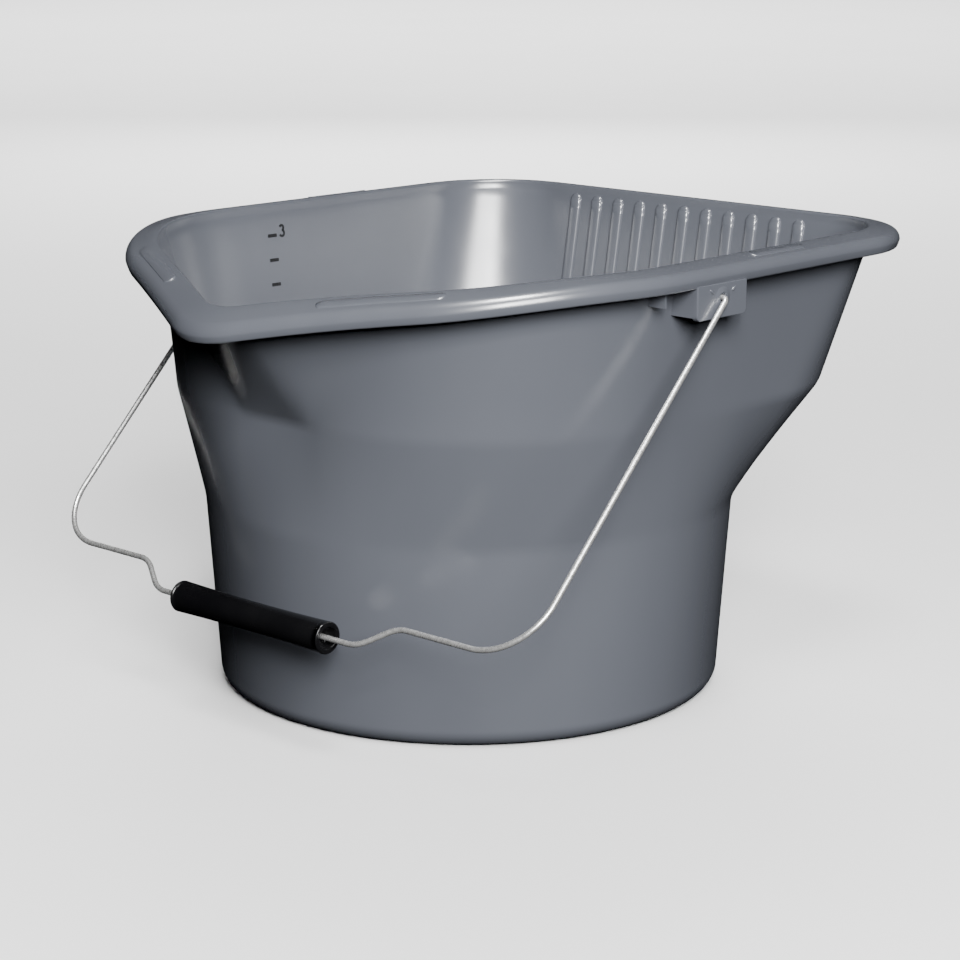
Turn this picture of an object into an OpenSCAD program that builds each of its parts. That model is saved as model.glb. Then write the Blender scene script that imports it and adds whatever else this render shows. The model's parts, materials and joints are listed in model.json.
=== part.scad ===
// Paint pail with a pour spout, a ribbed roller ramp on the back wall and a wire bail.
// Millimetres. +Z is up, the spout points to -Y and the roller ramp is on the +Y side.
// The origin is the centre of the resting base.

/* [Pail body] */
// Height of the rim's inner edge over the resting base
height = 214.8; // [200:0.1:230]
// Radius of the round base where it meets the floor
base_r = 118.75; // [112:0.25:120]
// Radius of the round base at its top, where the wall starts to flare
base_top_r = 125; // [122:0.5:128]
// Height of the round base
base_h = 92; // [80:1:100]
// Height where the flared wall turns upright
flare_top_z = 142.5; // [130:0.5:155]
// Wall thickness
wall = 2.2; // [1.6:0.1:3]
// Floor thickness
floor_t = 2.8; // [2:0.1:5]
// Rounding between the floor and the wall, outside
base_round = 9; // [6:0.5:14]

/* [Mouth] */
// Half width of the mouth at the front shoulders
shoulder_x = 137.3; // [132:0.1:142]
// Where the side and spout lines would cross, measured back from the centre
shoulder_y = -88; // [-100:1:-80]
// Half width of the mouth at the back corners
back_x = 133; // [128:0.5:140]
// Distance from the centre to the straight back edge
back_y = 159.5; // [150:0.5:170]
// Distance from the centre to the virtual point of the spout
spout_y = -158.3; // [-170:0.1:-150]
// Radius of the spout tip
spout_r = 25; // [15:1:35]
// Radius of the front shoulders
shoulder_r = 98; // [80:1:105]
// Radius of the back corners
corner_r = 43; // [30:1:60]
// How far the spout tip dips below the rest of the rim
dip_depth = 16.6; // [8:0.1:20]

/* [Rim] */
// Width of the rolled rim, from the inner edge outwards
rim_w = 15.2; // [10:0.1:18]
// Height of the rim from its top to the lower edge of its skirt
rim_h = 9.6; // [7:0.1:14]

/* [Roller ribs] */
// Number of ribs on the back wall
rib_count = 11; // [5:2:11]
// Spacing of the ribs
rib_pitch = 14.55; // [13:0.05:15]
// Width of a rib
rib_w = 7; // [5:0.5:9]
// Height of a rib over the wall
rib_rise = 2; // [1:0.1:3]
// Length of a rib down the wall
rib_len = 62; // [40:1:62]

/* [Bail] */
// Diameter of the bail wire
wire_d = 2.6; // [2:0.1:4]
// Height of the bail's pivot line
pivot_z = 200; // [195:0.5:202]
// Half width between the bail's legs
bail_x = 153.4; // [153:0.1:156]
// Distance from the pivot line to the cross wire
bail_reach = 187; // [180:1:195]
// How far the grip stands out beyond the cross wire
grip_drop = 13; // [8:1:20]
// Angle of the hanging bail below level
hang_angle = 46; // [45:0.5:50]
// Bend radius at the bail's corners
bail_bend = 29; // [12:1:40]
// Length of the grip
grip_len = 97; // [80:1:110]
// Outside diameter of the grip
grip_d = 14.6; // [12:0.1:20]
// Radial clearance of the wire in the ears and in the grip's end walls
clearance = 0.08; // [0.02:0.01:0.1]

/* [Hidden] */

grey = [0.40, 0.42, 0.45];
arc_steps = 10;
line_steps = 6;
top_z = height - 3;
wire_r = wire_d / 2;
ear_t = 3;
ear_w = 34;
ear_stand = 2.5;
ear_face_x = bail_x - ear_stand;
ear_drop = 8.8;
ear_low_z = pivot_z - ear_drop;
ear_web_t = 2.2;
ear_web_x = 135.2;
gusset_y = -33;
gusset_t = 1.2;
head_r = 2.5;
head_t = 1.6;
end_bend = ear_stand - 0.1;
jog_r = 16;
jog_angle = 38;
jog_x = 88;
mark_len = 6;
mark_t = 1.2;
mark_rise = 0.4;
mark_top_z = 198.7;
mark_step = 12.2;

// ---- outlines -------------------------------------------------------------------------
// The mouth outline is a polygon with rounded corners, from the spout tip around the
// +X side to the back and home again. Every outline has the same number of points, so
// that the wall can be lofted from one to the next.
function unit(v) = v / norm(v);
function fillet(a, b, c, r) =
  let (u = unit(a - b), w = unit(c - b), m = unit(u + w),
       half = acos(u * w) / 2, centre = b + m * r / sin(half),
       from = b + u * r / tan(half) - centre, to = b + w * r / tan(half) - centre,
       a0 = atan2(from[1], from[0]), raw = atan2(to[1], to[0]) - a0,
       turn = raw > 180 ? raw - 360 : (raw < -180 ? raw + 360 : raw))
  [for (i = [0:arc_steps]) centre + r * [cos(a0 + turn * i / arc_steps), sin(a0 + turn * i / arc_steps)]];
function between(p, q, n) = [for (i = [1:n - 1]) p + (q - p) * i / n];
function last(v) = v[len(v) - 1];
function outline(tip_y, tip_r, sx, sy, sr, bx, by, br) =
  let (tip = [0, tip_y], s = [sx, sy], c = [bx, by],
       f0 = fillet([-sx, sy], tip, s, tip_r),
       f1 = fillet(tip, s, c, sr),
       f2 = fillet(s, c, [-bx, by], br),
       half_tip = [for (i = [arc_steps / 2:arc_steps]) f0[i]],
       right = concat(half_tip, between(last(half_tip), f1[0], line_steps), f1,
                      between(last(f1), f2[0], line_steps), f2,
                      between(last(f2), [0, by], line_steps), [[0, by]]))
  concat(right, [for (i = [len(right) - 2:-1:1]) [-right[i][0], right[i][1]]]);
mouth = outline(spout_y, spout_r, shoulder_x, shoulder_y, shoulder_r, back_x, back_y, corner_r);
// The outline where the flare ends: a flat front instead of the spout, and rounder corners.
waist_front_y = -118.8;
waist_front_r = 300;
waist_corner_y = -127.3;
waist_side_in = 8;
waist_back_in = 5.2;
ramp_run = 11.7;
waist_rounding = 29;
waist = outline(waist_front_y, waist_front_r, shoulder_x - waist_side_in, waist_corner_y, shoulder_r,
                back_x - waist_back_in, back_y - ramp_run, corner_r + waist_rounding);
count = len(mouth);
// The top of the round base, met along the directions of the waist's points.
ring = [for (p = waist) (base_top_r - wall) * unit(p)];

function mix(a, b, t) = [for (i = [0:len(a) - 1]) a[i] * (1 - t) + b[i] * t];
function normal_at(o, i) =
  let (n = len(o), d = unit(o[(i + 1) % n] - o[(i + n - 1) % n])) [d[1], -d[0]];
function grown(o, by) = [for (i = [0:len(o) - 1]) o[i] + by * normal_at(o, i)];
// The whole rim bends down towards the spout.
dip_from = -50;
dip_span = 105.5;
dip_curve = 2.2;
function dip(y) = y < dip_from ? dip_depth * pow((dip_from - y) / dip_span, dip_curve) : 0;
function lifted(o, z, share = 0) = [for (p = o) [p[0], p[1], z - share * dip(p[1])]];

// ---- solids from rings ----------------------------------------------------------------
// A closed tube of rings: ring k joins ring k + 1, and the last joins the first.
module ring_solid(rings) {
  n = len(rings[0]);
  m = len(rings);
  polyhedron(points = [for (r = rings) for (p = r) p],
             faces = [for (k = [0:m - 1]) for (i = [0:n - 1]) for (h = [0, 1])
                      let (a = k * n + i, b = k * n + (i + 1) % n,
                           c = ((k + 1) % m) * n + (i + 1) % n, d = ((k + 1) % m) * n + i)
                      h == 0 ? [a, c, b] : [a, d, c]],
             convexity = 8);
}
// A bar along a path with a closed section, whose second half runs back over the first half
// and is split along the same diagonals. Its ends are flat, or strips of triangles from one
// half to the other, so that two bars that share an end fit exactly.
function flat_cap(n) = [[for (i = [0:n - 1]) i]];
function strip_cap(n) =
  [for (k = [0:n / 2 - 2]) for (h = [0, 1]) h == 0 ? [k, n - 2 - k, n - 1 - k] : [k, k + 1, n - 2 - k]];
module bar(sections, strips = true) {
  n = len(sections[0]);
  m = len(sections);
  cap = strips ? strip_cap(n) : flat_cap(n);
  polyhedron(points = [for (s = sections) for (p = s) p],
             faces = concat(cap,
                            [for (k = [0:m - 2]) for (i = [0:n - 1]) for (h = [0, 1])
                             let (a = k * n + i, b = k * n + (i + 1) % n,
                                  c = (k + 1) * n + (i + 1) % n, d = (k + 1) * n + i)
                             i < n / 2 - 1 ? (h == 0 ? [a, c, b] : [a, d, c])
                                           : (h == 0 ? [a, d, b] : [b, d, c])],
                            [for (f = cap) [for (i = [len(f) - 1:-1:0]) (m - 1) * n + f[i]]]),
             convexity = 8);
}

// ---- pail -----------------------------------------------------------------------------
function base_r_at(z) = base_r + (base_top_r - base_r) * z / base_h;
module pail_base() {
  foot = base_round;
  color(grey) rotate_extrude($fn = 120)
    difference() {
      union() {
        polygon([[0, 0], [base_r_at(0) - foot, 0], [base_r_at(foot) - 0.01, foot],
                 [base_top_r, base_h], [0, base_h]]);
        intersection() {
          translate([base_r_at(foot) - foot, foot]) circle(r = foot, $fn = 64);
          square([base_r_at(foot), foot + 1]);
        }
      }
      polygon([[-1, floor_t], [base_r_at(0) - foot, floor_t],
               [base_r_at(foot) - wall - 0.6 * foot, floor_t + 0.3],
               [base_r_at(foot) - wall - 0.15 * foot, floor_t + 0.35 * foot],
               [base_r_at(foot) - wall, foot + 1], [base_top_r - wall, base_h + 0.01],
               [base_top_r - wall, base_h + 1], [-1, base_h + 1]]);
    }
}

// Rings of the wall's inner face, or of a face that lies further out, from the base to the
// rim: first the flare, eased a little where it leaves the base, then the upright wall.
function flare_rings(by) =
  [lifted(grown(ring, by), base_h),
   lifted(grown(mix(ring, waist, 0.04), by), base_h + 3),
   lifted(grown(mix(ring, waist, 0.5), by), (base_h + flare_top_z) / 2),
   lifted(grown(waist, by), flare_top_z)];
function upright_rings(by) =
  [lifted(grown(waist, by), flare_top_z),
   lifted(grown(mix(waist, mouth, 0.33), by), flare_top_z + 0.33 * (top_z - flare_top_z), 0.19),
   lifted(grown(mix(waist, mouth, 0.67), by), flare_top_z + 0.67 * (top_z - flare_top_z), 0.55),
   lifted(grown(mouth, by), top_z, 1)];
flare_in = flare_rings(0);
flare_out = flare_rings(wall);
upright_in = upright_rings(0);
upright_out = upright_rings(wall);
// One stretch of the wall, from one outline point to another.
module wall_part(inside, outside, first, last) {
  color(grey)
    bar([for (i = [first:last])
         let (k = (i + count) % count)
         concat([for (r = inside) r[k]], [for (j = [len(outside) - 1:-1:0]) outside[j][k]])]);
}
// Outline points where the stretches meet: the end of the spout's flank, and the middle of
// the back corner.
flank_end = arc_steps / 2 + line_steps;
corner_mid = flank_end + 2 * arc_steps - arc_steps / 2 + line_steps;
module flare_front() { wall_part(flare_in, flare_out, -flank_end, flank_end); }
module flare_right() { wall_part(flare_in, flare_out, flank_end, corner_mid); }
module flare_back() { wall_part(flare_in, flare_out, corner_mid, count - corner_mid); }
module flare_left() { wall_part(flare_in, flare_out, count - corner_mid, count - flank_end); }
module spout_wall() { wall_part(upright_in, upright_out, -flank_end, flank_end); }
module side_wall_right() { wall_part(upright_in, upright_out, flank_end, corner_mid); }
module ramp_wall() { wall_part(upright_in, upright_out, corner_mid, count - corner_mid); }
module side_wall_left() { wall_part(upright_in, upright_out, count - corner_mid, count - flank_end); }

// Rim section: [outwards from the wall's inner face, height over the wall's top].
rim_section = [[0, 0], [0, 1.8], [0.9, 2.8], [2.4, 3], [rim_w - 5, 1.6], [rim_w - 1.8, 0.4],
               [rim_w - 0.3, -1.6], [rim_w, -3.4], [rim_w - 0.8, 3 - rim_h], [rim_w - 2.9, 3 - rim_h],
               [rim_w - 2.4, -3], [rim_w - 3.6, -1.4], [rim_w - 6, -0.6], [wall, 0]];
module rim() {
  rings = [for (s = rim_section)
           [for (i = [0:count - 1])
            let (p = mouth[i] + s[0] * normal_at(mouth, i))
            [p[0], p[1], top_z + s[1] - dip(p[1])]]];
  color(grey) ring_solid([for (i = [len(rings) - 1:-1:0]) rings[i]]);
}

// Ribs on the inside of the back wall, for rolling off the paint.
rib_top_z = top_z - 1;
wall_lean = atan((back_y - max([for (p = waist) p[1]])) / (top_z - flare_top_z));
module rib() {
  half = rib_w / 2;
  crown_r = (half * half + rib_rise * rib_rise) / (2 * rib_rise);
  intersection() {
    translate([-rib_w, -rib_rise - 1, -rib_len]) cube([2 * rib_w, rib_rise + 1, rib_len]);
    translate([0, crown_r - rib_rise, -rib_len]) cylinder(r = crown_r, h = rib_len, $fn = 48);
  }
}
module roller_ribs() {
  color(grey)
    for (i = [0:rib_count - 1])
      translate([(i - (rib_count - 1) / 2) * rib_pitch, back_y - 0.1, rib_top_z])
        rotate([-wall_lean, 0, 0]) rib();
}

// Ear: a plate flush with the rim's skirt, with a round hole for the bail's end and a web
// at each side that joins it to the wall.
module ear() {
  difference() {
    union() {
      translate([ear_face_x - ear_t, -ear_w / 2, ear_low_z])
        cube([ear_t, ear_w, height - rim_h - ear_low_z]);
      for (y = [-ear_w / 2, ear_w / 2 - ear_web_t])
        translate([ear_web_x, y, ear_low_z + 1])
          cube([ear_face_x - ear_t / 2 - ear_web_x, ear_web_t, height - rim_h - ear_low_z - 1]);
    }
    translate([ear_face_x - ear_t - 1, 0, pivot_z]) rotate([0, 90, 0])
      cylinder(r = wire_r + clearance, h = ear_t + 2, $fn = 48);
  }
}
module bail_ear_right() { color(grey) ear(); }
module bail_ear_left() { color(grey) mirror([1, 0, 0]) ear(); }

// A thin gusset under the rim, in front of each ear.
module ear_gussets() {
  color(grey)
    for (side = [0, 1])
      mirror([side, 0, 0])
        translate([ear_web_x + 0.4, gusset_y, pivot_z - 1.5])
          cube([ear_face_x - 5.2 - ear_web_x, gusset_t, height - rim_h - pivot_z + 1.5]);
}

// Level marks on the inside of the -X wall, one volume step apart.
function side_x(o, y) =
  max([for (i = [0:len(o) - 2])
       let (p = o[i], q = o[i + 1])
       p[0] > 0 && p[1] <= y && q[1] > y ? p[0] + (q[0] - p[0]) * (y - p[1]) / (q[1] - p[1]) : 0]);
function inside_x(y, z) =
  let (t = (z - flare_top_z) / (top_z - flare_top_z)) side_x(waist, y) * (1 - t) + side_x(mouth, y) * t;
module level_marks() {
  color([0.08, 0.08, 0.09])
    for (i = [0:2])
      let (z = mark_top_z - i * mark_step, x = inside_x(0, z))
      translate([-x - 0.2, -mark_len / 2 - 1.7, z - mark_t / 2])
        cube([mark_rise + 0.2, mark_len, mark_t]);
}

// Plain raised pads on top of the rim: [first outline point, last outline point].
pad_spans = [[8, 15], [29, 34]];
pad_in = 4;
pad_out = 9.5;
pad_rise = 0.5;
function rim_top(s) = lookup(s, [[2.4, 3], [rim_w - 5, 1.6]]);
function pad_ring(i) =
  let (p = mouth[i], n = normal_at(mouth, i))
  [for (c = [[pad_in, -0.3], [pad_in, pad_rise], [pad_out, pad_rise], [pad_out, -0.3]])
   let (q = p + c[0] * n)
   [q[0], q[1], top_z - dip(q[1]) + rim_top(c[0]) + c[1]]];
module rim_pads() {
  color(grey)
    for (side = [0, 1], span = pad_spans)
      mirror([side, 0, 0]) bar([for (i = [span[0]:span[1]]) pad_ring(i)]);
}

// ---- bail -----------------------------------------------------------------------------
// The wire is laid out flat, x across and y away from the pivot line, then hung.
module hung() {
  translate([0, 0, pivot_z]) rotate([hang_angle - 90, 0, 0]) rotate([90, 0, 0]) children();
}
// Points of an arc, each with its direction of travel.
function arc(centre, r, from, to, steps) =
  [for (i = [0:steps])
   let (a = from + (to - from) * i / steps)
   [centre + r * [cos(a), sin(a)], to > from ? a + 90 : a - 90]];
// Round section of the wire at a point of its path.
wire_sides = 16;
function wire_ring(stop) =
  [for (i = [0:wire_sides - 1])
   let (a = 360 * i / wire_sides, across = 0.99 * wire_r * cos(a))
   [stop[0][0] - across * sin(stop[1]), stop[0][1] + across * cos(stop[1]), 0.99 * wire_r * sin(a)]];
grip_y = -bail_reach - grip_drop;
jog_len = (grip_drop - 2 * jog_r * (1 - cos(jog_angle))) / sin(jog_angle);
jog_a = [jog_x - jog_r * sin(jog_angle), -bail_reach - jog_r * (1 - cos(jog_angle))];
jog_b = jog_a - jog_len * [cos(jog_angle), sin(jog_angle)];
jog_c = jog_b + jog_r * [-sin(jog_angle), cos(jog_angle)];
end_x = bail_x - end_bend;
half_path = concat([[[end_x - 1, 0], 0]],
                   arc([end_x, -end_bend], end_bend, 90, 0, 6),
                   arc([bail_x - bail_bend, bail_bend - bail_reach], bail_bend, 0, -90, 10),
                   arc([jog_x, -bail_reach - jog_r], jog_r, 90, 90 + jog_angle, 5),
                   arc(jog_c, jog_r, jog_angle - 90, -90, 5),
                   [[[jog_c[0] - 1, grip_y], -180]]);
module half_bail() {
  head_x = ear_face_x - ear_t - 0.4 - head_t;
  translate([head_x, 0, 0]) rotate([0, 90, 0]) {
    cylinder(r = wire_r, h = end_x - head_x, $fn = 40);
    cylinder(r = head_r, h = head_t, $fn = 40);
  }
  bar([for (stop = half_path) wire_ring(stop)], strips = false);
}
module bail_wire() {
  color([0.78, 0.79, 0.8]) hung() {
    half_bail();
    mirror([1, 0, 0]) half_bail();
    translate([-jog_c[0], grip_y, 0]) rotate([0, 90, 0])
      cylinder(r = wire_r, h = 2 * jog_c[0], $fn = 40);
  }
}

// Grip: a hollow sleeve, a little slimmer in the middle, that turns on the wire. A thin
// wall just inside each end carries it.
grip_bore_r = 4.9;
grip_slim = 0.7;
web_in = 6;
web_t = 3;
module grip() {
  half = grip_len / 2;
  r = grip_d / 2;
  hole = wire_r + clearance;
  outer = [for (i = [-6:6])
           let (t = i / 6, edge = abs(i) == 6 ? 0.5 : 0)
           [r - grip_slim * (1 - t * t) - edge, t * half]];
  color([0.05, 0.05, 0.06]) hung()
    translate([0, grip_y, 0]) rotate([0, 90, 0])
      rotate_extrude($fn = 64)
        polygon(concat(outer,
                       [[grip_bore_r, half], [grip_bore_r, half - web_in], [hole, half - web_in],
                        [hole, half - web_in - web_t], [grip_bore_r, half - web_in - web_t],
                        [grip_bore_r, web_in + web_t - half], [hole, web_in + web_t - half],
                        [hole, web_in - half], [grip_bore_r, web_in - half], [grip_bore_r, -half]]));
}

pail_base();
flare_front();
flare_right();
flare_back();
flare_left();
spout_wall();
side_wall_right();
ramp_wall();
side_wall_left();
rim();
roller_ribs();
bail_ear_left();
bail_ear_right();
ear_gussets();
level_marks();
rim_pads();
bail_wire();
grip();
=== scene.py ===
"""Paint pail with a pour spout, a ribbed roller ramp and a wire bail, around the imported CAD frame."""
import json
import math

import bmesh
import bpy
import numpy as np
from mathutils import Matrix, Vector


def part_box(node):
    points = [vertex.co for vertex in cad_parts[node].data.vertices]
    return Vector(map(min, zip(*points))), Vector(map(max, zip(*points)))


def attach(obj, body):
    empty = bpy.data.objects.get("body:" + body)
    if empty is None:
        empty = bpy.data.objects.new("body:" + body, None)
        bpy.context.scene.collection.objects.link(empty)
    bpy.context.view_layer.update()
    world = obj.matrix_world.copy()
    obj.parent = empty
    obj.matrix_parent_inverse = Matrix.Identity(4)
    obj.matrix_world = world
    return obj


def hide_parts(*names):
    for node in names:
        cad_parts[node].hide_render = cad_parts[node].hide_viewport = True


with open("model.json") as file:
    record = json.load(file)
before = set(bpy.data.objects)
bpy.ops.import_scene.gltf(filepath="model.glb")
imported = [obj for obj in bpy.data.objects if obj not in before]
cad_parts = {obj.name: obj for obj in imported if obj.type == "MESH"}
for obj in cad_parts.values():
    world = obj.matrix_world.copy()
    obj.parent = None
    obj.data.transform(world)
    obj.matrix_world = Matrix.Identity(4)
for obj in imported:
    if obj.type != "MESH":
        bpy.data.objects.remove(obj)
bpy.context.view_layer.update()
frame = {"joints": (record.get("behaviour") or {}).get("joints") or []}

MM = 0.001

# ---- driving dimensions, in millimetres, as in the part's own source ---------------------
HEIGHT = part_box("rim")[1].z / MM
BASE_TOP_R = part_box("pail_base")[1].x / MM
BASE_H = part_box("pail_base")[1].z / MM
BASE_R = 118.75
FLARE_TOP_Z = 142.5
WALL = 2.2
FLOOR_T = 2.8
FOOT_ROUND = 9
RIM_W = 15.15
RIM_H = 9.6
TOP_Z = HEIGHT - 3
CREASE_LOW = 3.5
CREASE_HIGH = 3.0
DIP_DEPTH = 16.6
DIP_FROM = -50
DIP_SPAN = 105.5
DIP_CURVE = 2.2

MOUTH = dict(tip_y=-158.3, tip_r=25, side=(137.3, -88), side_r=98, back=(133, 159.5), back_r=43)
WAIST = dict(tip_y=-118.8, tip_r=300, side=(129.3, -127.3), side_r=98, back=(127.8, 147.8), back_r=72)
# Points on each arc and each straight line of an outline, and how much finer they are drawn
# before they are evened out.
ARC_STEPS = 32
LINE_STEPS = 20
FINE = 8
EVENING_PASSES = 90

# Pads: where each starts and ends along the mouth from the spout tip, how far out the middle
# of the pad lies, half its width, and its section as (share of the half width, rise).
PAD_SPANS = ((48, 104), (259, 297))
PAD_MIDDLE = 6.6
PAD_HALF = 2.9
PAD_STEPS = 40
PAD_SECTION = ((-1, -0.5), (-1, 0.15), (-0.86, 0.4), (0.86, 0.4), (1, 0.15), (1, -0.5))
# The rim's top: distances out from the wall's inner face, and heights over the wall's top.
RIM_TOP = ((2.6, RIM_W - 9.5, RIM_W - 7, RIM_W - 5), (3.0, 2.6, 2.2, 1.7))

RIB_COUNT = 11
RIB_PITCH = 14.55
RIB_W = 6.6
RIB_RISE = 2.0
RIB_LEN = 61
RIB_START = 1.2

PIVOT_Z = frame["joints"][0]["pos_m"][2] / MM
BAIL_X = 153.4
BAIL_REACH = 187
GRIP_DROP = 13
BAIL_BEND = 29
END_BEND = 2.4
JOG_R = 16
JOG_ANGLE = math.radians(38)
JOG_X = 88
WIRE_R = 1.28
HANG = math.radians(46)
HEAD_IN = 8.8
GRIP_LEN = 97
GRIP_R = 7.3
GRIP_BORE = 4.9
GRIP_SLIM = 0.7

EAR_T = 3
EAR_CORNER = 2.4
EAR_INTO_RIM = 1.2
EAR_WEB_X = 135.6
EAR_WEB_T = 2.2
LUG_Y = 7.5
LUG_RISE = 3.2
GUSSET_X = 135.8

MARK_PEN = 0.4
NUMERAL_Y = 4.7
NUMERAL_Z = 197.9
NUMERAL_H = 5.4


# ---- outlines -----------------------------------------------------------------------------
def unit(v):
    """A vector at length one."""
    return v / np.linalg.norm(v)


def fillet(a, b, c, r):
    """The rounded corner at b between the lines to a and c."""
    u, w = unit(a - b), unit(c - b)
    half = math.acos(float(u @ w)) / 2
    centre = b + unit(u + w) * r / math.sin(half)
    start = b + u * r / math.tan(half) - centre
    end = b + w * r / math.tan(half) - centre
    a0 = math.atan2(start[1], start[0])
    turn = math.atan2(end[1], end[0]) - a0
    turn = (turn + math.pi) % (2 * math.pi) - math.pi
    angles = a0 + turn * np.linspace(0, 1, ARC_STEPS * FINE + 1)
    return centre + r * np.c_[np.cos(angles), np.sin(angles)]


def between(p, q):
    """The points inside a straight line from p to q."""
    t = np.linspace(0, 1, LINE_STEPS * FINE + 1)[1:-1, None]
    return p + (q - p) * t


def outline(tip_y, tip_r, side, side_r, back, back_r):
    """A closed outline from the spout tip round the +X side to the back and home again."""
    tip, s, c = np.array([0, tip_y]), np.array(side, float), np.array(back, float)
    flip = np.array([-1, 1])
    f0 = fillet(s * flip, tip, s, tip_r)[ARC_STEPS * FINE // 2:]
    f1 = fillet(tip, s, c, side_r)
    f2 = fillet(s, c, c * flip, back_r)
    middle = np.array([[0, c[1]]])
    right = np.vstack([f0, between(f0[-1], f1[0]), f1, between(f1[-1], f2[0]), f2,
                       between(f2[-1], middle[0]), middle])
    return evened(np.vstack([right, right[-2:0:-1] * flip]))


def evened(fine):
    """Every FINE-th point of an outline, slid along it so that the spacing changes smoothly."""
    loop = np.vstack([fine, fine[:1]])
    along = np.r_[0, np.cumsum(np.linalg.norm(np.diff(loop, axis=0), axis=1))]
    spacing = np.diff(along[::FINE])
    for _ in range(EVENING_PASSES):
        spacing = (np.roll(spacing, 1) + 2 * spacing + np.roll(spacing, -1)) / 4
    places = np.r_[0, np.cumsum(spacing)[:-1]]
    return np.c_[np.interp(places, along, loop[:, 0]), np.interp(places, along, loop[:, 1])]


def normals(o):
    """The outward normal at each point of an outline."""
    d = np.roll(o, -1, 0) - np.roll(o, 1, 0)
    d /= np.linalg.norm(d, axis=1)[:, None]
    return np.c_[d[:, 1], -d[:, 0]]


mouth = outline(**MOUTH)
waist = outline(**WAIST)
compass = waist / np.linalg.norm(waist, axis=1)[:, None]


def dip(y):
    """How far the rim bends down at y, towards the spout."""
    return np.where(y < DIP_FROM, DIP_DEPTH * (np.maximum(DIP_FROM - y, 0) / DIP_SPAN) ** DIP_CURVE, 0)


def base_r_at(z):
    """Outside radius of the round base at a level."""
    return BASE_R + (BASE_TOP_R - BASE_R) * z / BASE_H


def hard_ring(z, out):
    """The wall at one level, out millimetres outside its inner face, with sharp creases."""
    if z <= BASE_H:
        xy, level = compass * (base_r_at(z) - WALL), np.full(len(mouth), z)
    elif z <= FLARE_TOP_Z:
        t = (z - BASE_H) / (FLARE_TOP_Z - BASE_H)
        xy = compass * (BASE_TOP_R - WALL) * (1 - t) + waist * t
        level = np.full(len(mouth), z)
    else:
        t = (z - FLARE_TOP_Z) / (TOP_Z - FLARE_TOP_Z)
        xy = waist * (1 - t) + mouth * t
        level = z - t ** 1.5 * dip(mouth[:, 1])
    return np.c_[xy + out * normals(xy), level]


def wall_ring(z, out):
    """The wall at one level, with its two creases rounded."""
    for crease, soft in ((BASE_H, CREASE_LOW), (FLARE_TOP_Z, CREASE_HIGH)):
        if abs(z - crease) < soft:
            s = (z - crease + soft) / (2 * soft)
            low, mid, high = (hard_ring(crease + k * soft, out) for k in (-1, 0, 1))
            return (1 - s) ** 2 * low + 2 * s * (1 - s) * mid + s * s * high
    return hard_ring(z, out)


def rim_ring(out, z):
    """A ring of the rim: out from the wall's inner face, z over the wall's top."""
    xy = mouth + out * normals(mouth)
    return np.c_[xy, TOP_Z + z - dip(xy[:, 1])]


def corner(centre, r, start, end, steps):
    """Points of an arc in a section, with angles in degrees."""
    return [(centre[0] + r * math.cos(math.radians(a)), centre[1] + r * math.sin(math.radians(a)))
            for a in np.linspace(start, end, steps + 1)]


# ---- meshes -------------------------------------------------------------------------------
def make(name, points, faces, material, body, slot, smooth=True):
    """One piece from points in millimetres, riding on a body."""
    mesh = bpy.data.meshes.new(name)
    mesh.from_pydata([tuple(p) for p in np.asarray(points, float) * MM], [], faces)
    mesh.validate()
    bm = bmesh.new()
    bm.from_mesh(mesh)
    bmesh.ops.recalc_face_normals(bm, faces=bm.faces)
    bm.to_mesh(mesh)
    bm.free()
    mesh.polygons.foreach_set("use_smooth", [smooth] * len(mesh.polygons))
    mesh.materials.append(material)
    piece = bpy.data.objects.new(name, mesh)
    bpy.context.scene.collection.objects.link(piece)
    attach(piece, body)
    return piece


def loft(rings, closed=False, caps=True):
    """Points and faces of a skin over rings of equal length."""
    n, m = len(rings[0]), len(rings)
    faces = []
    for k in range(m if closed else m - 1):
        low, high = k * n, (k + 1) % m * n
        faces += [(low + i, low + (i + 1) % n, high + (i + 1) % n, high + i) for i in range(n)]
    if caps and not closed:
        faces += [tuple(range(n - 1, -1, -1)), tuple((m - 1) * n + i for i in range(n))]
    return np.vstack(rings), faces


def join(parts):
    """Points and faces of several skins as one."""
    points, faces, start = [], [], 0
    for p, f in parts:
        points.append(np.asarray(p, float))
        faces += [tuple(start + i for i in face) for face in f]
        start += len(p)
    return np.vstack(points), faces


# ---- materials ----------------------------------------------------------------------------
def material(name):
    """A new material, with the parts of it that every finish works on."""
    mat = bpy.data.materials.new(name)
    mat.use_nodes = True
    nodes, links = mat.node_tree.nodes, mat.node_tree.links
    shader = nodes["Principled BSDF"]
    coords = nodes.new("ShaderNodeTexCoord").outputs["Object"]
    return mat, nodes, links, shader, coords


def noise(nodes, links, coords, scale, detail=3.0, stretch=None):
    """A noise texture's factor, optionally stretched along an axis."""
    node = nodes.new("ShaderNodeTexNoise")
    node.inputs["Scale"].default_value = scale
    node.inputs["Detail"].default_value = detail
    if stretch:
        mapping = nodes.new("ShaderNodeMapping")
        mapping.inputs["Scale"].default_value = stretch
        links.new(coords, mapping.inputs["Vector"])
        coords = mapping.outputs["Vector"]
    links.new(coords, node.inputs["Vector"])
    return node.outputs["Fac"]


def ramp(nodes, links, fac, low, high, at=(0.3, 0.7)):
    """A factor turned into a range of greys or colours."""
    node = nodes.new("ShaderNodeValToRGB")
    for element, place, colour in zip(node.color_ramp.elements, at, (low, high)):
        element.position = place
        element.color = colour if isinstance(colour, tuple) else (colour,) * 3 + (1,)
    links.new(fac, node.inputs["Fac"])
    return node.outputs["Color"]


def bump(nodes, links, shader, height, strength, distance):
    """Fine relief on a shader's normal."""
    node = nodes.new("ShaderNodeBump")
    node.inputs["Strength"].default_value = strength
    node.inputs["Distance"].default_value = distance
    links.new(height, node.inputs["Height"])
    links.new(node.outputs["Normal"], shader.inputs["Normal"])


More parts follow.
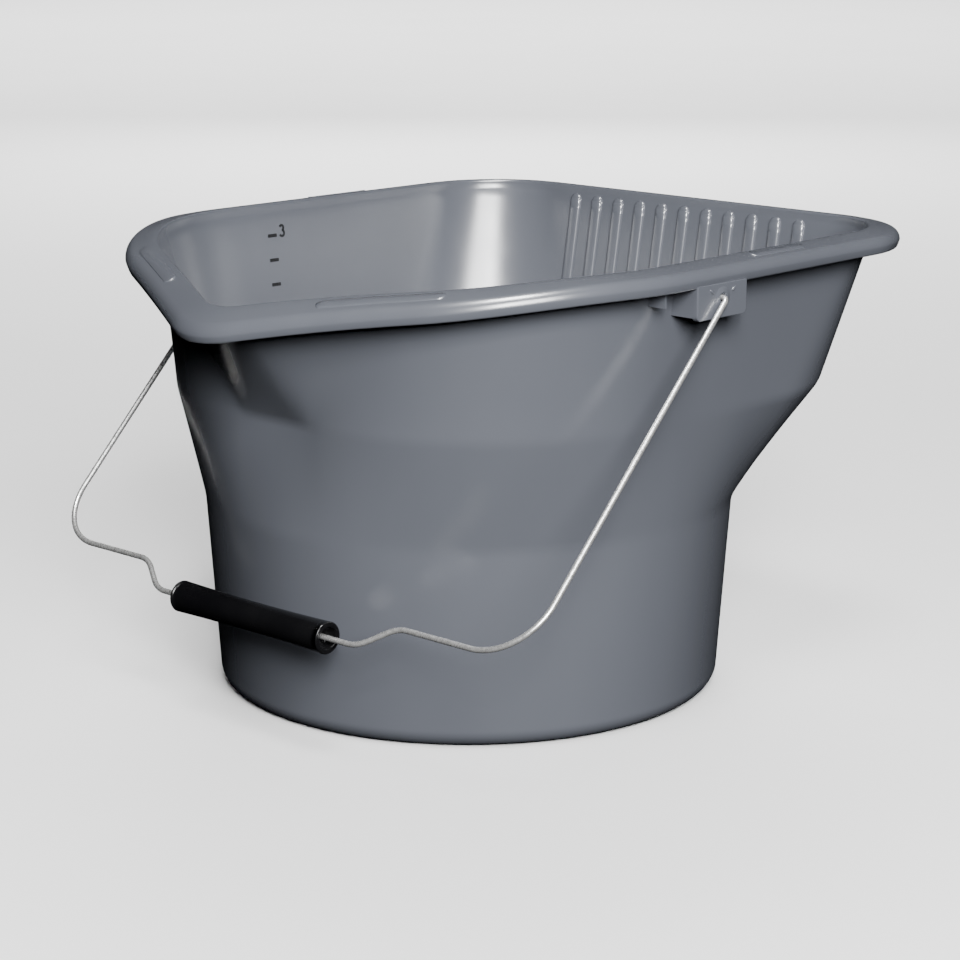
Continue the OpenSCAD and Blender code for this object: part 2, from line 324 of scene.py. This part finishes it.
def moulded_plastic():
    """Grey polypropylene: a faint flow mottle, and a fine satin grain from the mould."""
    mat, nodes, links, shader, coords = material("grey_polypropylene")
    flow = noise(nodes, links, coords, 9, 4, (1, 1, 0.35))
    links.new(ramp(nodes, links, flow, (0.080, 0.085, 0.100, 1), (0.093, 0.099, 0.115, 1)),
              shader.inputs["Base Color"])
    wear = noise(nodes, links, coords, 60, 6)
    links.new(ramp(nodes, links, wear, 0.23, 0.27), shader.inputs["Roughness"])
    bump(nodes, links, shader, noise(nodes, links, coords, 2600, 2), 0.05, 0.0002)
    shader.inputs["Specular IOR Level"].default_value = 1.0
    return mat


def zinc_wire():
    """Bright galvanised wire: drawn streaks and faint zinc mottle."""
    mat, nodes, links, shader, coords = material("galvanised_wire")
    shader.inputs["Metallic"].default_value = 0.8
    mottle = noise(nodes, links, coords, 420, 5)
    links.new(ramp(nodes, links, mottle, (0.62, 0.62, 0.61, 1), (0.86, 0.86, 0.85, 1)),
              shader.inputs["Base Color"])
    links.new(ramp(nodes, links, noise(nodes, links, coords, 900, 4), 0.22, 0.38),
              shader.inputs["Roughness"])
    bump(nodes, links, shader, noise(nodes, links, coords, 1500, 3), 0.08, 0.0002)
    return mat


def gloss_black():
    """Black gloss sleeve with faint handling marks."""
    mat, nodes, links, shader, coords = material("gloss_black_plastic")
    links.new(ramp(nodes, links, noise(nodes, links, coords, 40, 4), (0.0025, 0.0025, 0.003, 1),
                   (0.005, 0.005, 0.0055, 1)), shader.inputs["Base Color"])
    links.new(ramp(nodes, links, noise(nodes, links, coords, 220, 6, (0.2, 1, 1)), 0.18, 0.3),
              shader.inputs["Roughness"])
    bump(nodes, links, shader, noise(nodes, links, coords, 700, 3), 0.04, 0.0002)
    shader.inputs["Specular IOR Level"].default_value = 0.3
    return mat


def mark_ink():
    """Printed black ink, slightly uneven."""
    mat, nodes, links, shader, coords = material("printed_ink")
    links.new(ramp(nodes, links, noise(nodes, links, coords, 1800, 4), (0.008, 0.008, 0.009, 1),
                   (0.02, 0.02, 0.022, 1)), shader.inputs["Base Color"])
    shader.inputs["Roughness"].default_value = 0.55
    shader.inputs["Specular IOR Level"].default_value = 0.15
    return mat


PLASTIC, WIRE, GRIP, INK = moulded_plastic(), zinc_wire(), gloss_black(), mark_ink()


# ---- the pail moulding ----------------------------------------------------------------------
def pail_shell():
    """The one-piece moulding: base, wall, rolled rim and inside, as a single closed skin."""
    rings = []

    def disc(r, z):
        rings.append(np.c_[compass * r, np.full(len(compass), z)])

    flat_r = base_r_at(FOOT_ROUND) - FOOT_ROUND
    for r in (2, 30, 60, 90, flat_r - 4):
        disc(r, 0)
    for r, z in corner((flat_r, FOOT_ROUND), FOOT_ROUND, -90, 0, 12):
        disc(r, z)
    levels = sorted({*np.linspace(FOOT_ROUND + 4, BASE_H - CREASE_LOW, 9),
                     *np.linspace(BASE_H - CREASE_LOW, BASE_H + CREASE_LOW, 9),
                     *np.linspace(BASE_H + CREASE_LOW, FLARE_TOP_Z - CREASE_HIGH, 8),
                     *np.linspace(FLARE_TOP_Z - CREASE_HIGH, FLARE_TOP_Z + CREASE_HIGH, 9),
                     *np.linspace(FLARE_TOP_Z + CREASE_HIGH, TOP_Z - 2, 16)})
    rings += [wall_ring(z, WALL) for z in levels]
    skirt_low = 3 - RIM_H
    section = ([(WALL + 0.25, -0.9), (WALL + 0.9, -0.35), (RIM_W - 6, -0.7), (RIM_W - 3.8, -1.6),
                (RIM_W - 2.7, -3.4), (RIM_W - 2.9, skirt_low + 0.5)]
               + corner((RIM_W - 1.85, skirt_low + 1.05), 1.05, 190, 350, 8)
               + corner((RIM_W - 5, -3.3), 5, 0, 81, 12)
               + [(RIM_W - 7, 2.2), (RIM_W - 9.5, 2.6)]
               + [(3.2, 2.97)] + corner((1.2, 1.8), 1.2, 86, 180, 9)
               + [(0, -1)])
    rings += [rim_ring(out, z) for out, z in section]
    rings += [wall_ring(z, 0) for z in reversed(levels) if z > FOOT_ROUND + 6]
    inner_foot = FOOT_ROUND - 1.5
    floor_r = base_r_at(FLOOR_T + inner_foot) - WALL - inner_foot
    for r, z in corner((floor_r, FLOOR_T + inner_foot), inner_foot, 0, -90, 10):
        disc(r, z)
    for r in (floor_r - 4, 90, 60, 30, 2):
        disc(r, FLOOR_T)
    piece = make("pail_moulding", *loft(rings), PLASTIC, "pail", "pail_plastic")
    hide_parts("pail_base", "flare_front", "flare_right", "flare_back", "flare_left",
                "spout_wall", "side_wall_right", "ramp_wall", "side_wall_left", "rim")
    return piece


def back_frame(x, down):
    """A point of the inner back wall and its inward normal, down millimetres from the top."""
    lean = math.atan2(MOUTH["back"][1] - WAIST["back"][1], TOP_Z - FLARE_TOP_Z)
    point = np.array([x, MOUTH["back"][1] - down * math.sin(lean), TOP_Z - down * math.cos(lean)])
    normal = np.array([0, -math.cos(lean), math.sin(lean)])
    return point, normal


def roller_ribs():
    """Round-topped ribs down the back wall, each a flat-crowned bar with domed ends."""
    parts = []
    crown = np.linspace(0, math.pi, 15)
    half = RIB_W / 2
    start, end = RIB_START, RIB_START + RIB_LEN
    tip = half * (1 - np.cos(np.linspace(0, math.pi / 2, 7)))
    for k in range(RIB_COUNT):
        x = (k - (RIB_COUNT - 1) / 2) * RIB_PITCH
        rings = []
        for down in sorted({*(start + tip), *np.linspace(start + half, end - half, 12), *(end - tip)}):
            edge = min(1.0, (down - start) / half, (end - down) / half)
            size = math.sqrt(max(1 - (1 - edge) ** 2, 0.0004))
            point, normal = back_frame(x, down)
            wide = np.sign(np.cos(crown)) * np.abs(np.cos(crown)) ** 0.7 * half * size
            high = np.sin(crown) ** 0.6 * RIB_RISE * size - 0.3
            ring = point + np.outer(wide, [1, 0, 0]) + np.outer(high, normal)
            base = [point + s * wide[0] * np.array([1, 0, 0]) - 0.8 * normal for s in (-1, 1)]
            rings.append(np.vstack([ring, base]))
        parts.append(loft(rings))
    piece = make("rib_set", *join(parts), PLASTIC, "pail", "pail_plastic")
    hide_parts("roller_ribs")


def rim_pads():
    """Plain raised pads on the rim's top, with round ends."""
    parts = []
    along = np.r_[0, np.cumsum(np.linalg.norm(np.diff(mouth, axis=0), axis=1))]
    turns = normals(mouth)
    for side in (1, -1):
        for first, last in PAD_SPANS:
            rings = []
            for place in first + (last - first) * (1 - np.cos(np.linspace(0, math.pi, PAD_STEPS))) / 2:
                p = np.array([np.interp(place, along, mouth[:, i]) for i in (0, 1)])
                n = unit(np.array([np.interp(place, along, turns[:, i]) for i in (0, 1)]))
                end = min(1, (place - first) / 3, (last - place) / 3)
                half = PAD_HALF * math.sqrt(max(1 - (1 - end) ** 2, 0.001))
                ring = []
                for across, rise in PAD_SECTION:
                    out = PAD_MIDDLE + across * half
                    top = np.interp(out, *RIM_TOP)
                    q = p + out * n
                    ring.append((side * q[0], q[1], TOP_Z - float(dip(q[1])) + top + rise))
                rings.append(np.array(ring))
            parts.append(loft(rings))
    piece = make("rim_pad_set", *join(parts), PLASTIC, "pail", "pail_plastic")
    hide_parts("rim_pads")


# ---- ears -----------------------------------------------------------------------------------
def rounded_plate(y0, y1, z0, z1, r):
    """Outline of the ear's plate: square at the top, rounded below."""
    return np.array(corner((y1 - r, z0 + r), r, 0, -90, 8) + corner((y0 + r, z0 + r), r, -90, -180, 8)
                    + [(y0, z1), (y0 + 0.5 * (y1 - y0), z1), (y1, z1)])


def ear(side, name, node):
    low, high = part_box(node)
    outer_x = max(abs(low.x), abs(high.x)) / MM
    y0, y1, z0, z1 = low.y / MM, high.y / MM, low.z / MM, high.z / MM + EAR_INTO_RIM
    parts = []
    loop = rounded_plate(y0, y1, z0, z1, EAR_CORNER)
    following = np.roll(loop, -1, 0)
    loop = np.vstack([np.linspace(p, q, 5)[:-1] for p, q in zip(loop, following)])
    middle = np.array([0, PIVOT_Z])
    angles = np.arctan2(loop[:, 1] - middle[1], loop[:, 0] - middle[0])
    circle = np.c_[np.cos(angles), np.sin(angles)]
    hole = WIRE_R + 0.35
    rings = []
    for back, grow in ((0, -0.5), (0.12, -0.15), (0.5, 0), (EAR_T, 0)):
        shape = loop + grow * unit_rows(loop - middle)
        rings.append(np.c_[np.full(len(shape), outer_x - back), shape])
    for back in (EAR_T, 0.3):
        rings.append(np.c_[np.full(len(circle), outer_x - back), middle + circle * hole])
    boss = [(outer_x, hole + 0.25), (outer_x + 0.45, hole + 0.6), (outer_x + 0.5, hole + 1.2),
            (outer_x + 0.25, hole + 2.4), (outer_x, hole + 3.4)]
    rings += [np.c_[np.full(len(circle), x), middle + circle * r] for x, r in boss]
    parts.append(loft(rings, closed=True))
    for y in (y0 + EAR_WEB_T / 2, y1 - EAR_WEB_T / 2):
        parts.append(slab(EAR_WEB_X, outer_x - EAR_T / 2, y - 1.0, y + 1.0, z0 + 1.4, z1 - 1))
    for lean in (-1, 1):
        parts.append(lug(outer_x, LUG_Y * lean, PIVOT_Z + LUG_RISE, lean))
    points, faces = join(parts)
    points = points * np.array([side, 1, 1])
    piece = make(name, points, faces, PLASTIC, "pail", "pail_plastic", smooth=False)
    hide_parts(node)
    return piece


def unit_rows(v):
    return v / np.linalg.norm(v, axis=1)[:, None]


def slab(x0, x1, y0, y1, z0, z1):
    """A flat web between two faces."""
    rings = [np.array([(x, y0, z0), (x, y1, z0), (x, y1, z1), (x, y0, z1)]) for x in np.linspace(x0, x1, 3)]
    return loft(rings)


def lug(x, y, z, lean):
    """A small raised ramp beside the hole."""
    rings = []
    for t in np.linspace(0, 1, 9):
        size = math.sqrt(max(1 - (2 * t - 1) ** 2, 0.01))
        centre = np.array([x, y + lean * (1.6 - 3.2 * t) * 0.6, z + 2.2 * (0.5 - t)])
        angle = np.linspace(0, 2 * math.pi, 12, endpoint=False)
        rings.append(centre + np.c_[0.7 * size * np.cos(angle), 1.1 * size * np.sin(angle), 0 * angle])
    return loft(rings)


def gussets():
    """A thin web under the rim, in front of each ear."""
    low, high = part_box("ear_gussets")
    x1, y0, y1, z0, z1 = (v / MM for v in (high.x, low.y, high.y, low.z, high.z))
    parts = [slab(s * GUSSET_X, s * (x1 - 0.1), y0, y1, z0, z1) for s in (1, -1)]
    piece = make("ear_gusset_pair", *join(parts), PLASTIC, "pail", "pail_plastic", smooth=False)
    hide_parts("ear_gussets")


# ---- level marks ------------------------------------------------------------------------------
def inner_side_x(y, z):
    """Distance of the inner side wall from the middle plane."""
    ring = hard_ring(z, 0)
    side = ring[(ring[:, 0] > 100) & (ring[:, 1] > -20) & (ring[:, 1] < 60)]
    order = np.argsort(side[:, 1])
    return float(np.interp(y, side[order, 1], side[order, 0]))


def level_marks():
    """Three dashes and a numeral on the inside of the -X wall."""
    low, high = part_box("level_marks")
    y0, y1 = low.y / MM + MARK_PEN, high.y / MM - MARK_PEN
    parts = []
    for z in np.linspace(high.z / MM - 0.6, low.z / MM + 0.6, 3):
        parts.append(decal(np.array(corner((y1, z + 0.45), MARK_PEN, 90, 0, 4)
                                    + corner((y1, z - 0.45), MARK_PEN, 0, -90, 4)
                                    + corner((y0, z - 0.45), MARK_PEN, -90, -180, 4)
                                    + corner((y0, z + 0.45), MARK_PEN, 180, 90, 4))))
    parts.append(numeral_three(NUMERAL_Y, NUMERAL_Z, NUMERAL_H))
    points, faces = join(parts)
    piece = make("level_mark_set", points, faces, INK, "pail", "mark_ink", smooth=False)
    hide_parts("level_marks")


def decal(loop):
    """A thin print on the inner -X wall from a closed loop of (y, z)."""
    rings = []
    for rise in (-0.1, 0.06):
        rings.append(np.array([(-inner_side_x(y, z) + rise, y, z) for y, z in loop]))
    return loft(rings)


def numeral_three(y, z, tall):
    """The figure 3, drawn as one band along two bows."""
    r_top, r_low, pen = 0.235 * tall, 0.28 * tall, 0.115 * tall
    spine = (corner((y, z + tall - r_top), r_top, 155, -85, 14)
             + corner((y, z + r_low), r_low, 85, -155, 16))
    spine = np.array(spine)
    side = normals(spine)
    side[0], side[-1] = side[1], side[-2]
    rings = []
    for p, n in zip(spine, side):
        a, b = p + pen * n, p - pen * n
        rings.append(np.array([(-inner_side_x(*q) + rise, *q) for q, rise in
                               ((a, -0.1), (a, 0.06), (b, 0.06), (b, -0.1))]))
    return loft(rings)


# ---- bail and grip ----------------------------------------------------------------------------
def hang(points):
    """From the bail's flat layout, x across and y away from the pivot, to where it hangs."""
    p = np.asarray(points, float)
    return np.c_[p[:, 0], p[:, 1] * math.cos(HANG) + p[:, 2] * -math.sin(HANG),
                 PIVOT_Z + p[:, 1] * math.sin(HANG) + p[:, 2] * math.cos(HANG)]


def arc(centre, r, start, end, steps):
    """Stops along an arc: a point, and the direction of travel there."""
    sign = math.copysign(math.pi / 2, end - start)
    return [((centre[0] + r * math.cos(a), centre[1] + r * math.sin(a)), a + sign)
            for a in np.linspace(start, end, steps + 1)]


def bail_wire():
    """The bent wire, swept along one half and mirrored, with a head inside each ear."""
    quarter = math.pi / 2
    grip_y = -BAIL_REACH - GRIP_DROP
    jog_len = (GRIP_DROP - 2 * JOG_R * (1 - math.cos(JOG_ANGLE))) / math.sin(JOG_ANGLE)
    out = (math.cos(JOG_ANGLE), math.sin(JOG_ANGLE))
    jog_a = (JOG_X - JOG_R * out[1], -BAIL_REACH - JOG_R * (1 - out[0]))
    jog_b = (jog_a[0] - jog_len * out[0], jog_a[1] - jog_len * out[1])
    jog_c = (jog_b[0] - JOG_R * out[1], jog_b[1] + JOG_R * out[0])
    head_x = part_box("bail_wire")[1].x / MM - HEAD_IN
    half = ([((head_x, 0), 0.0)]
            + arc((BAIL_X - END_BEND, -END_BEND), END_BEND, quarter, 0, 10)
            + arc((BAIL_X - BAIL_BEND, BAIL_BEND - BAIL_REACH), BAIL_BEND, 0, -quarter, 24)
            + arc((JOG_X, -BAIL_REACH - JOG_R), JOG_R, quarter, quarter + JOG_ANGLE, 12)
            + arc(jog_c, JOG_R, JOG_ANGLE - quarter, -quarter, 12)
            + [((0.0, grip_y), -math.pi)])
    angle = np.linspace(0, 2 * math.pi, 20, endpoint=False)
    rings = [np.c_[p + np.outer(WIRE_R * np.cos(angle), (-math.sin(a), math.cos(a))), WIRE_R * np.sin(angle)]
             for p, a in half]
    rings += [ring * np.array([-1, 1, 1]) for ring in rings[-2::-1]]
    parts = [loft(rings)]
    for s in (1, -1):
        knob = [np.c_[np.full(20, s * (head_x + dx)), r * np.cos(angle), r * np.sin(angle)]
                for dx, r in ((-0.1, 0.6), (0, 1.7), (0.5, 2.4), (1.1, 2.4), (1.6, 1.9), (1.6, 1.2))]
        parts.append(loft(knob))
    points, faces = join(parts)
    piece = make("bail_wire_skin", hang(points), faces, WIRE, "bail", "zinc_wire")
    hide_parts("bail_wire")


def grip():
    """A hollow, slightly waisted sleeve with rolled ends and a recessed wall inside each."""
    half = GRIP_LEN / 2
    bore = GRIP_BORE
    section = [(GRIP_R - GRIP_SLIM * (1 - t * t), t * half) for t in np.linspace(-0.985, 0.985, 31)]
    section += corner((GRIP_R - 0.75, half - 0.75), 0.75, 0, 90, 5)
    section += corner((bore + 0.4, half - 0.4), 0.4, 90, 180, 4)
    recess = [(bore, half - 5.7), (bore - 0.3, half - 6), (WIRE_R + 0.25, half - 6),
              (WIRE_R + 0.08, half - 6.2)]
    section += recess + [(r, -x) for r, x in reversed(recess)]
    section += corner((bore + 0.4, 0.4 - half), 0.4, 180, 270, 4)
    section += corner((GRIP_R - 0.75, 0.75 - half), 0.75, 270, 360, 5)
    angle = np.linspace(0, 2 * math.pi, 72, endpoint=False)
    centre = np.array([0, -BAIL_REACH - GRIP_DROP, 0])
    rings = [centre + np.c_[np.full(72, x), r * np.cos(angle), r * np.sin(angle)] for r, x in section]
    points, faces = loft(rings, closed=True)
    piece = make("grip_sleeve", hang(points), faces, GRIP, "grip", "grip_plastic")
    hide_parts("grip")


# ---- stage ------------------------------------------------------------------------------------
def floor():
    """A plain pale floor."""
    size = 6.0
    corners = [(-size, -size, 0), (size, -size, 0), (size, size, 0), (-size, size, 0)]
    mesh = bpy.data.meshes.new("studio_floor")
    mesh.from_pydata(corners, [], [(0, 1, 2, 3)])
    obj = bpy.data.objects.new("studio_floor", mesh)
    bpy.context.scene.collection.objects.link(obj)
    mat, nodes, links, shader, coords = material("pale_floor")
    links.new(ramp(nodes, links, noise(nodes, links, coords, 3, 2), 0.93, 0.95), shader.inputs["Base Color"])
    shader.inputs["Roughness"].default_value = 0.9
    mesh.materials.append(mat)
    obj.visible_diffuse = False
    obj.visible_glossy = False


def softbox(name, place, target, size, power, gloss=True, diffuse=True):
    """A rectangular soft light, aimed at a target."""
    light = bpy.data.lights.new(name, "AREA")
    light.shape = "RECTANGLE"
    light.size, light.size_y = size
    light.energy = power
    lamp = bpy.data.objects.new(name, light)
    bpy.context.scene.collection.objects.link(lamp)
    lamp.visible_glossy = gloss
    lamp.visible_diffuse = diffuse
    lamp.location = place
    lamp.rotation_euler = (Vector(target) - Vector(place)).to_track_quat("-Z", "Y").to_euler()


def studio():
    """A pale background that gives no light, a key light from the right, and soft fills."""
    world = bpy.data.worlds.new("studio")
    bpy.context.scene.world = world
    world.use_nodes = True
    world.node_tree.nodes["Background"].inputs["Color"].default_value = (1, 1, 1, 1)
    world.node_tree.nodes["Background"].inputs["Strength"].default_value = 0.72
    world.cycles_visibility.diffuse = False
    world.cycles_visibility.glossy = False
    softbox("key", (1.44, -1.00, 1.02), (0, 0, 0.12), (0.9, 0.9), 94)
    softbox("strip", (1.54, -1.43, 1.12), (0, 0, 0.2), (0.14, 0.5), 24)
    softbox("top", (0.8, -0.8, 3.0), (0, 0, 0), (0.8, 0.8), 42)
    softbox("backdrop", (-3.4, 3.5, 2.6), (-3.4, 3.5, 0), (5.0, 5.0), 420, gloss=False)
    softbox("back_fill", (-1.6, 1.7, 1.0), (0, 0, 0.12), (1.0, 1.0), 26, gloss=False)
    softbox("rim_glint", (0.36, -0.36, 2.4), (0, 0, 0.2), (0.45, 0.45), 95, diffuse=False)


def camera():
    """The photograph's viewpoint: bearing, height and lens."""
    data = bpy.data.cameras.new("camera")
    cam = bpy.data.objects.new("camera", data)
    bpy.context.scene.collection.objects.link(cam)
    bearing, rise, distance = math.radians(43.618), math.radians(13.382), 1.27784
    target = Vector((0, 0, 0.0945))
    back = Vector((math.sin(bearing) * math.cos(rise), -math.cos(bearing) * math.cos(rise), math.sin(rise)))
    cam.location = target + back * distance
    cam.rotation_euler = (-back).to_track_quat("-Z", "Y").to_euler()
    data.sensor_width = 36
    data.lens = 100.41
    data.shift_x = 0.0117
    bpy.context.scene.camera = cam


camera()
pail_shell()
roller_ribs()
rim_pads()
ear(1, "ear_right_skin", "bail_ear_right")
ear(-1, "ear_left_skin", "bail_ear_left")
gussets()
level_marks()
bail_wire()
grip()
floor()
studio()
